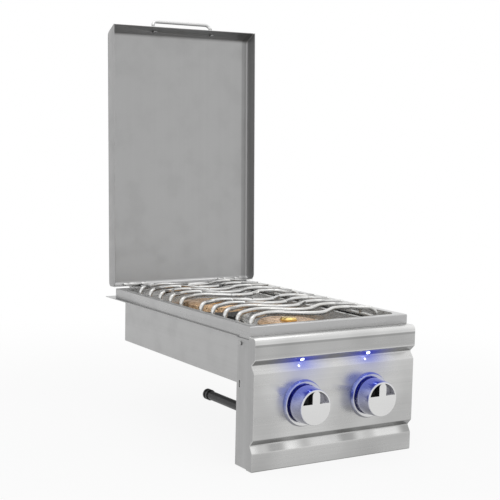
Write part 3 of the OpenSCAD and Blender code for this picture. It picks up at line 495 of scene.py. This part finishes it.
def buildFinish(name, look):
    mat, tree, shader = newMaterial(name)
    coords = tree.nodes.new("ShaderNodeTexCoord").outputs["Object"]
    grain = useGroup(tree, grainGroup, coords, Stretch=look["stretch"])
    marks = useGroup(tree, smudgeGroup, coords, Size=common["markSize"])
    edgeShine = useGroup(tree, edgeHighlightGroup, coords, Width=common["edgeWidth"])
    colour = look["colour"]
    spread = look["grain"]
    dark = tuple(c * (1 - spread) for c in colour)
    light = tuple(min(1, c * (1 + spread)) for c in colour)
    toned = addColourMix(tree, addRange(tree, grain.outputs["Tone"], 0.3, 0.7, 0, 1), dark, light)
    if look.get("heat"):
        # Straw heat tint near the burners
        patch = addNoise(tree, coords, common["patchScale"], 3)
        patch = addRange(tree, patch, 0.45, 0.72, 0, look["heat"], True)
        straw = tuple(a * b for a, b in zip(colour, (0.93, 0.84, 0.66)))
        toned = addColourMix(tree, patch, toned, straw)
    # Painted shade on faces that look down, painted light on faces that look up
    form = useGroup(
        tree,
        facingShadeGroup,
        Under=look.get("under", common["under"]),
        Over=look.get("over", common["over"]),
    )
    tree.links.new(tree.nodes.new("ShaderNodeTexCoord").outputs["Normal"], form.inputs["Normal"])
    shade = form.outputs["Tone"]
    parts = tree.nodes.new("ShaderNodeSeparateXYZ")
    tree.links.new(coords, parts.inputs[0])
    # Painted highlights and painted shade: strips of lighter and darker tone along one axis
    for axis, low, high, below, above in look.get("bands", ()):
        band = addRange(tree, parts.outputs[axis], low, high, below, above, True)
        shade = addMath(tree, "MULTIPLY", shade, band)
    if look.get("patches"):
        # Brushed sheet shows soft uneven tone across its width
        soft = addNoise(tree, coords, common["patchScale"], 1)
        soft = addRange(tree, soft, 0.35, 0.65, 1 - look["patches"], 1 + look["patches"], True)
        shade = addMath(tree, "MULTIPLY", shade, soft)
    if look.get("reflectionBlocks"):
        # Painted reflection: blurred light and dark blocks along one bend
        streak = look["reflectionBlocks"]
        low, high, edge = streak["low"], streak["high"], streak["edge"]
        rise = addRange(tree, parts.outputs["Z"], low, low + edge, 0, 1, True)
        fall = addRange(tree, parts.outputs["Z"], high - edge, high, 1, 0, True)
        along = tree.nodes.new("ShaderNodeCombineXYZ")
        tree.links.new(parts.outputs["X"], along.inputs["X"])
        block = addNoise(tree, along.outputs[0], streak["scale"], 1)
        block = addRange(tree, block, 0.4, 0.6, -streak["amount"], streak["amount"], True)
        block = addMath(tree, "MULTIPLY", block, addMath(tree, "MULTIPLY", rise, fall))
        shade = addMath(tree, "MULTIPLY", shade, addMath(tree, "ADD", 1.0, block))
    toned = addColourMix(tree, 1.0, toned, shade, "MULTIPLY")
    # Painted highlight along the edges
    bright = tuple(min(1, c * common["edgeLift"] + 0.03) for c in colour)
    toned = addColourMix(tree, addMath(tree, "MULTIPLY", edgeShine.outputs["Mask"], 0.6), toned, bright)
    rough = addRange(tree, marks.outputs["Mask"], 0, 1, look["rough"] * 0.9, look["rough"] * 1.18)
    grainRough = addRange(tree, grain.outputs["Tone"], 0.3, 0.7, -0.03, 0.04)
    mixed = addMath(tree, "ADD", rough, grainRough)
    prints = addMath(tree, "MULTIPLY", marks.outputs["Print"], common["printDepth"])
    tree.links.new(addMath(tree, "ADD", mixed, prints, True), shader.inputs["Roughness"])
    shader.inputs["Metallic"].default_value = look.get("metallic", 1.0)
    shader.inputs["Coat Weight"].default_value = look.get("coat", 0.0)
    bump = tree.nodes.new("ShaderNodeBump")
    bump.inputs["Strength"].default_value = look["bump"]
    bump.inputs["Distance"].default_value = common["bumpDepth"]
    tree.links.new(grain.outputs["Height"], bump.inputs["Height"])
    tree.links.new(bump.outputs["Normal"], shader.inputs["Normal"])
    if look.get("glow"):
        glow = useGroup(tree, glowGroup, coords, Reach=look.get("reach", common["reach"]))
        # Rims that face the lamps take more of their light than the faces that look forward
        facing = tree.nodes.new("ShaderNodeSeparateXYZ")
        tree.links.new(tree.nodes.new("ShaderNodeTexCoord").outputs["Normal"], facing.inputs[0])
        forward = addRange(tree, facing.outputs["Y"], -0.95, -0.6, look.get("faceGlow", 1.0), 1, True)
        shone = addMath(tree, "MULTIPLY", glow.outputs["Mask"], forward)
        tint = addMath(tree, "MULTIPLY", shone, look["tint"], True)
        toned = addColourMix(tree, tint, toned, lampLight["tint"], "MULTIPLY")
        shone = addMath(tree, "MULTIPLY", shone, look["glow"] * lampLight["share"])
        blue = addColourMix(tree, 1.0, shone, lampLight["blue"], "MULTIPLY")
        lit = addColourMix(tree, glow.outputs["Echo"], blue, lampLight["echo"])
        tree.links.new(lit, shader.inputs["Emission Color"])
        shader.inputs["Emission Strength"].default_value = lampLight["strength"]
    tree.links.new(toned, shader.inputs["Base Color"])
    return mat


materials = {name: buildFinish(name, look) for name, look in finishes.items()}


def buildLens():
    mat, tree, shader = newMaterial("ledLens")
    coords = tree.nodes.new("ShaderNodeTexCoord").outputs["Object"]
    frost = addNoise(tree, coords, 900, 3)
    tree.links.new(addRange(tree, frost, 0.3, 0.7, 0.18, 0.32), shader.inputs["Roughness"])
    tone = addColourMix(tree, frost, (0.55, 0.66, 1.0), (0.85, 0.9, 1.0))
    tree.links.new(tone, shader.inputs["Base Color"])
    tree.links.new(tone, shader.inputs["Emission Color"])
    shader.inputs["Emission Strength"].default_value = 6
    shader.inputs["Coat Weight"].default_value = 0.5
    return mat


materials["ledLens"] = buildLens()
print("materials built:", len(materials))


# Every CAD node: its finish, and the width of its softened edges in metres
dressing = {
    "fascia_panel": ("fasciaSteel", 0.0003),
    "fascia_end_left": ("endSteel", 0.0003),
    "fascia_end_right": ("endSteel", 0.0003),
    "fascia_screws": ("screwSteel", 0.0004),
    "body_left": ("bodySteel", 0.0),
    "body_right": ("bodySteel", 0.0),
    "body_back": ("bodySteel", 0.0),
    "body_bottom": ("bodySteel", 0.0),
    "body_front": ("bodySteel", 0.0),
    "counter_flange": ("bodySteel", 0.0003),
    "top_frame": ("frameSteel", 0.0004),
    "burner_pan": ("panSteel", 0.0006),
    "grate_front": ("rodSteel", 0.0),
    "grate_rear": ("rodSteel", 0.0),
    "burner_ring_front": ("burnerCopper", 0.0),
    "burner_ring_rear": ("burnerCopper", 0.0),
    "burner_cap_front": ("burnerBrass", 0.0004),
    "burner_cap_rear": ("burnerBrass", 0.0004),
    "burner_base_front": ("castBody", 0.0),
    "burner_base_rear": ("castBody", 0.0),
    "burner_screws": ("screwSteel", 0.0003),
    "igniter_front": ("ceramic", 0.0),
    "igniter_rear": ("ceramic", 0.0),
    "orifice_front": ("valveBrass", 0.0003),
    "orifice_rear": ("valveBrass", 0.0003),
    "supply_tube_front": ("tubeAluminium", 0.0),
    "supply_tube_rear": ("tubeAluminium", 0.0),
    "valve_left": ("valveBrass", 0.0004),
    "valve_right": ("valveBrass", 0.0004),
    "stem_collar_left": ("screwSteel", 0.0002),
    "stem_collar_right": ("screwSteel", 0.0002),
    "valve_stem_left": ("screwSteel", 0.0002),
    "valve_stem_right": ("screwSteel", 0.0002),
    "knob_left": ("knobChrome", 0.0007),
    "knob_right": ("knobChrome", 0.0007),
    "bezel_left": ("bezelChrome", 0.0004),
    "bezel_right": ("bezelChrome", 0.0004),
    "led_left": ("ledLens", 0.0),
    "led_right": ("ledLens", 0.0),
    "led_holders": ("blackPlastic", 0.0003),
    "manifold": ("pipeIron", 0.0),
    "manifold_brackets": ("bodySteel", 0.0003),
    "manifold_plug": ("pipeIron", 0.0005),
    "inlet_elbow": ("pipeIron", 0.0004),
    "inlet_pipe": ("pipeBlack", 0.0),
    "inlet_fitting": ("pipeBlack", 0.0003),
    "lid_shell": ("lidSteel", 0.0003),
    "lid_handle": ("handleMetal", 0.0),
    "handle_screws": ("screwSteel", 0.0004),
    "hinge_leaf_lid": ("hingeSteel", 0.0003),
    "hinge_leaf_frame": ("hingeSteel", 0.0003),
    "hinge_pins": ("hingeSteel", 0.0),
    "hinge_screws": ("screwSteel", 0.0002),
}


# A smoother copy of a CAD node that stands for it, with bevelled edges
def dressNode(node, finish, bevel):
    source = nodes[node]
    mesh = source.data.copy()
    piece = bpy.data.objects.new(node.replace("_", "-") + "-finished", mesh)
    bpy.context.scene.collection.objects.link(piece)
    makeActive(piece)
    bpy.ops.object.mode_set(mode="EDIT")
    bpy.ops.mesh.select_all(action="SELECT")
    bpy.ops.mesh.remove_doubles(threshold=meshing["merge"])
    bpy.ops.mesh.dissolve_limited(angle_limit=math.radians(meshing["flatUnder"]))
    bpy.ops.object.mode_set(mode="OBJECT")
    if bevel:
        mod = piece.modifiers.new("edges", "BEVEL")
        mod.width = bevel
        mod.segments = meshing["bevelSegments"]
        mod.limit_method = "ANGLE"
        mod.angle_limit = math.radians(meshing["bevelOver"])
        mod.use_clamp_overlap = True
        bpy.ops.object.modifier_apply(modifier=mod.name)
    bpy.ops.object.shade_smooth_by_angle(angle=math.radians(meshing["smoothUnder"]))
    mesh.materials.clear()
    mesh.materials.append(materials[finish])
    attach(piece, source["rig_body"])
    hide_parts(node)
    return piece


# Where a knob's axis lies, and the faces of its hollows painted dark as shade
knobAxis = {"x": 0.0633, "z": -0.101}
knobHollow = {"radius": 0.0249, "front": -0.0331, "back": -0.02, "above": 0.005}

# The narrow gap between a bezel and its knob lies in shadow
bezelGap = {"radius": 0.0264, "front": -0.0048}


def inHollow(centre, away):
    deep = knobHollow["front"] < centre.y < knobHollow["back"]
    high = centre.z > knobAxis["z"] + knobHollow["above"]
    return deep and high and away < knobHollow["radius"]


def inGap(centre, away):
    return away < bezelGap["radius"] and centre.y > bezelGap["front"]


# Gives a second, dark finish as painted shade to the faces round a knob's axis that pass a test
def darkenFaces(piece, side, finish, isDark):
    mesh = piece.data
    mesh.materials.append(materials[finish])
    count = 0
    for poly in mesh.polygons:
        centre = poly.center
        away = math.hypot(centre.x - side * knobAxis["x"], centre.z - knobAxis["z"])
        if isDark(centre, away):
            poly.material_index = 1
            count += 1
    return count


pieces = {}
for node, (finish, bevel) in dressing.items():
    pieces[node] = dressNode(node, finish, bevel)
for place, side in (("left", -1), ("right", 1)):
    hollows = darkenFaces(pieces["knob_" + place], side, "pocketPaintedShade", inHollow)
    gaps = darkenFaces(pieces["bezel_" + place], side, "gapBlack", inGap)
    print(place, "dark faces: knob", hollows, "bezel", gaps)
print("pieces dressed:", len(pieces))


# Floor and light
def buildFloor():
    half = studio["floorSize"] / 2
    deselectAll()
    bpy.ops.mesh.primitive_plane_add(size=studio["floorSize"], location=(0, half * 0.3, studio["floorZ"]))
    floor = bpy.context.active_object
    floor.name = "studioFloor"
    mat = bpy.data.materials.new("studioFloor")
    mat.use_nodes = True
    tree = mat.node_tree
    tree.nodes.clear()
    out = tree.nodes.new("ShaderNodeOutputMaterial")
    mix = tree.nodes.new("ShaderNodeMixShader")
    matte = tree.nodes.new("ShaderNodeBsdfDiffuse")
    matte.inputs["Color"].default_value = (*studio["floorColour"], 1)
    white = tree.nodes.new("ShaderNodeEmission")
    white.inputs["Strength"].default_value = studio["whiteStrength"]
    path = tree.nodes.new("ShaderNodeLightPath")
    seen = addMath(tree, "ADD", path.outputs["Is Camera Ray"], path.outputs["Is Glossy Ray"])
    seen = addMath(tree, "ADD", seen, path.outputs["Is Transmission Ray"], True)
    # Far from the object the floor runs out into the white behind it
    length = tree.nodes.new("ShaderNodeVectorMath")
    length.operation = "DISTANCE"
    tree.links.new(tree.nodes.new("ShaderNodeTexCoord").outputs["Object"], length.inputs[0])
    length.inputs[1].default_value = (0, 0.2 - half * 0.3, 0)
    near, far = studio["glowNear"], studio["glowFar"]
    glow = addRange(tree, length.outputs["Value"], near, far, studio["floorGlow"], 1, True)
    tree.links.new(addMath(tree, "MULTIPLY", seen, glow), mix.inputs[0])
    tree.links.new(matte.outputs[0], mix.inputs[1])
    tree.links.new(white.outputs[0], mix.inputs[2])
    tree.links.new(mix.outputs[0], out.inputs["Surface"])
    floor.data.materials.append(mat)


def buildWorld():
    world = bpy.data.worlds.new("studioWorld")
    bpy.context.scene.world = world
    world.use_nodes = True
    tree = world.node_tree
    tree.nodes.clear()
    out = tree.nodes.new("ShaderNodeOutputWorld")
    back = tree.nodes.new("ShaderNodeBackground")
    back.inputs["Color"].default_value = (1, 1, 1, 1)
    path = tree.nodes.new("ShaderNodeLightPath")
    seen = addMath(tree, "ADD", path.outputs["Is Camera Ray"], path.outputs["Is Glossy Ray"])
    seen = addMath(tree, "ADD", seen, path.outputs["Is Transmission Ray"], True)
    strength = addRange(tree, seen, 0, 1, studio["skyStrength"], studio["whiteStrength"])
    tree.links.new(strength, back.inputs["Strength"])
    tree.links.new(back.outputs[0], out.inputs["Surface"])


def buildLights():
    for box in softboxes:
        data = bpy.data.lights.new(box["name"], "AREA")
        data.shape = "RECTANGLE"
        data.size, data.size_y = box["size"]
        data.energy = box["power"]
        lamp = bpy.data.objects.new(box["name"], data)
        bpy.context.scene.collection.objects.link(lamp)
        place = Vector(box["place"])
        lamp.location = place
        lamp.rotation_euler = (Vector(box["aim"]) - place).to_track_quat("-Z", "Y").to_euler()


buildFloor()
buildWorld()
buildLights()
buildCamera()
bpy.context.scene.view_settings.view_transform = "Standard"
print("studio built")
